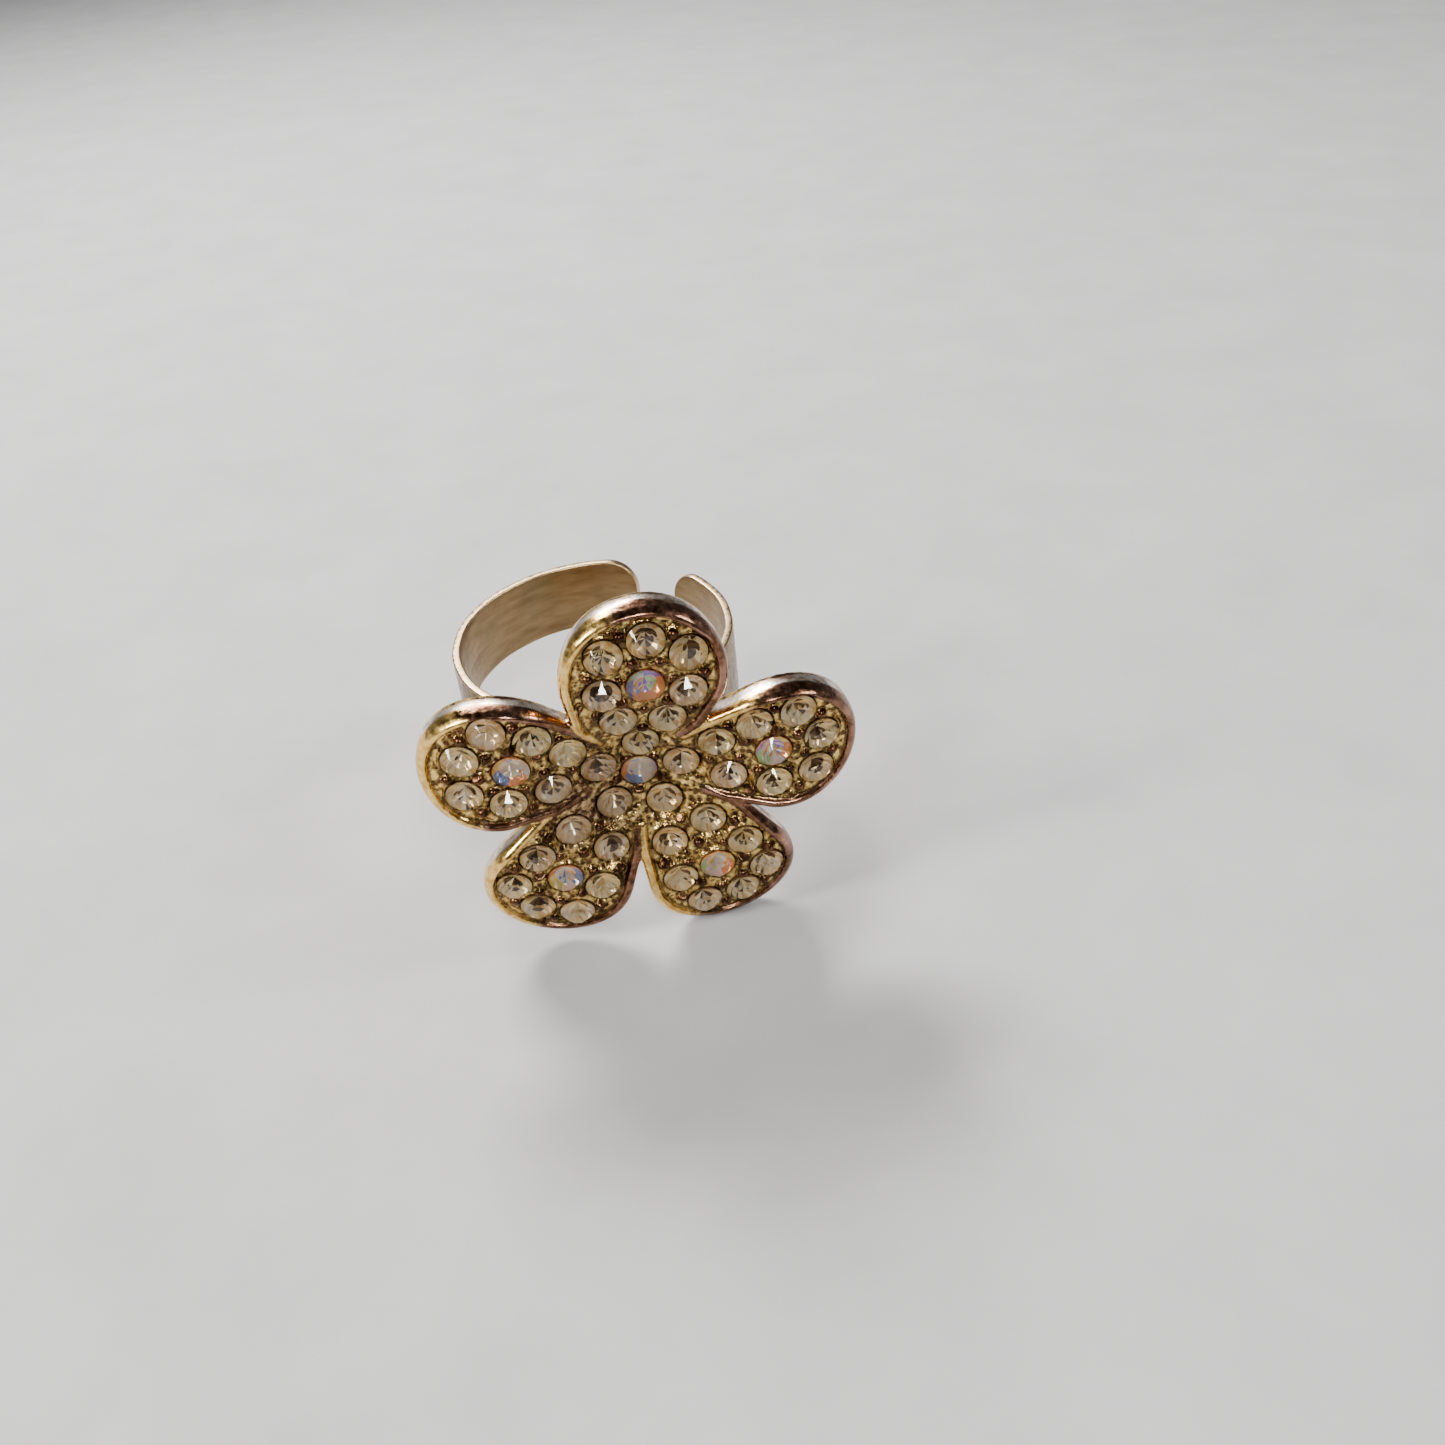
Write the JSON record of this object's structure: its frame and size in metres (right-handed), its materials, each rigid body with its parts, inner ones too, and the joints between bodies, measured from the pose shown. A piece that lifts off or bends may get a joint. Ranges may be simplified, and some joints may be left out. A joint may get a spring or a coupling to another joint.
{
  "type": "adjustable flower cocktail ring",
  "caption": "Adjustable cocktail ring: a rimmed five-petal flower head paved with round foil-backed stones, on a thin flat strap that is open at the back.",
  "frame": {"origin": "centre of the finger bore", "axes": "+Z along the finger, towards the fingertip side of the upright petal; the flower faces -Y"},
  "size_m": [0.0253, 0.0245, 0.0251],
  "materials": {
    "flower_metal": "worn gold-tone plating with silver and copper wear",
    "pad_metal": "dull pale gold plating",
    "strap_metal": "thin pale gold plating, tarnished inside",
    "clear_stone": "polished, foil-backed, champagne",
    "aurora_stone": "polished, foil-backed, iridescent coating"
  },
  "bodies": {
    "head": {"centre_aurora_stone": "aurora_stone", "flower_casting": "flower_metal", "left_petal_aurora_stone": "aurora_stone", "left_petal_flank_left_stone": "clear_stone", "left_petal_flank_right_stone": "clear_stone", "left_petal_inner_left_stone": "clear_stone", "left_petal_inner_right_stone": "clear_stone", "left_petal_root_stone": "clear_stone", "left_petal_tip_left_stone": "clear_stone", "left_petal_tip_middle_stone": "clear_stone", "left_petal_tip_right_stone": "clear_stone", "lower_left_petal_aurora_stone": "aurora_stone", "lower_left_petal_flank_left_stone": "clear_stone", "lower_left_petal_flank_right_stone": "clear_stone", "lower_left_petal_inner_left_stone": "clear_stone", "lower_left_petal_inner_right_stone": "clear_stone", "lower_left_petal_root_stone": "clear_stone", "lower_left_petal_tip_left_stone": "clear_stone", "lower_left_petal_tip_middle_stone": "clear_stone", "lower_left_petal_tip_right_stone": "clear_stone", "lower_right_petal_aurora_stone": "aurora_stone", "lower_right_petal_flank_left_stone": "clear_stone", "lower_right_petal_flank_right_stone": "clear_stone", "lower_right_petal_inner_left_stone": "clear_stone", "lower_right_petal_inner_right_stone": "clear_stone", "lower_right_petal_root_stone": "clear_stone", "lower_right_petal_tip_left_stone": "clear_stone", "lower_right_petal_tip_middle_stone": "clear_stone", "lower_right_petal_tip_right_stone": "clear_stone", "mounting_pad": "pad_metal", "right_petal_aurora_stone": "aurora_stone", "right_petal_flank_left_stone": "clear_stone", "right_petal_flank_right_stone": "clear_stone", "right_petal_inner_left_stone": "clear_stone", "right_petal_inner_right_stone": "clear_stone", "right_petal_root_stone": "clear_stone", "right_petal_tip_left_stone": "clear_stone", "right_petal_tip_middle_stone": "clear_stone", "right_petal_tip_right_stone": "clear_stone", "shank_front": "strap_metal", "top_petal_aurora_stone": "aurora_stone", "top_petal_flank_left_stone": "clear_stone", "top_petal_flank_right_stone": "clear_stone", "top_petal_inner_left_stone": "clear_stone", "top_petal_inner_right_stone": "clear_stone", "top_petal_root_stone": "clear_stone", "top_petal_tip_left_stone": "clear_stone", "top_petal_tip_middle_stone": "clear_stone", "top_petal_tip_right_stone": "clear_stone"},
    "left_arm": {"shank_left_arm": "strap_metal"},
    "right_arm": {"shank_right_arm": "strap_metal"}
  },
  "joints": [
    {"name": "left_arm_bend", "type": "hinge", "parent": "head", "child": "left_arm", "pos_m": [-0.00663, -0.00597, 0], "axis": [0, 0, 1], "range_deg": [-3, 12]},
    {"name": "right_arm_bend", "type": "hinge", "parent": "head", "child": "right_arm", "pos_m": [0.00663, -0.00597, 0], "axis": [0, 0, -1], "range_deg": [-3, 12]}
  ]
}
